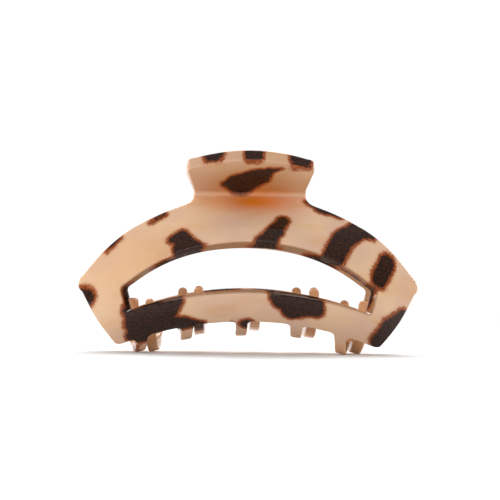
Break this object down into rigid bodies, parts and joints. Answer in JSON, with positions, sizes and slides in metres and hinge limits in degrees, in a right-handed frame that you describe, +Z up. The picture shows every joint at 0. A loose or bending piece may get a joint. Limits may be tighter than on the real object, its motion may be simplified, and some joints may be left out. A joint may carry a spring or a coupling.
{
  "type": "hair claw clip",
  "caption": "Large sprung claw clip with arched open-window halves and interleaving teeth, for gripping gathered hair.",
  "frame": {"origin": "centre of the closed clip's footprint, on the surface it stands on", "axes": "+X along the hinge, -Y towards the front half, +Z up towards the thumb tabs"},
  "size_m": [0.1054, 0.0548, 0.0625],
  "materials": {
    "acetate_front": "polished tortoiseshell acetate",
    "acetate_back": "polished tortoiseshell acetate",
    "acetate_ear": "polished acetate",
    "steel": "bright",
    "spring_steel": "drawn wire"
  },
  "bodies": {
    "back_half": {"back_claw": "acetate_back", "back_left_ear": "acetate_ear", "back_right_ear": "acetate_ear", "hinge_pin": "steel", "pin_cap": "steel", "torsion_spring": "spring_steel"},
    "front_half": {"front_claw": "acetate_front", "front_left_ear": "acetate_ear", "front_right_ear": "acetate_ear"}
  },
  "joints": [
    {"name": "hinge", "type": "hinge", "parent": "back_half", "child": "front_half", "pos_m": [0, 0, 0.042], "axis": [-1, 0, 0], "range_deg": [0, 60], "stiffness_Nm_per_rad": 0.15, "springref_deg": -34.38, "deforming": ["torsion_spring"]}
  ]
}
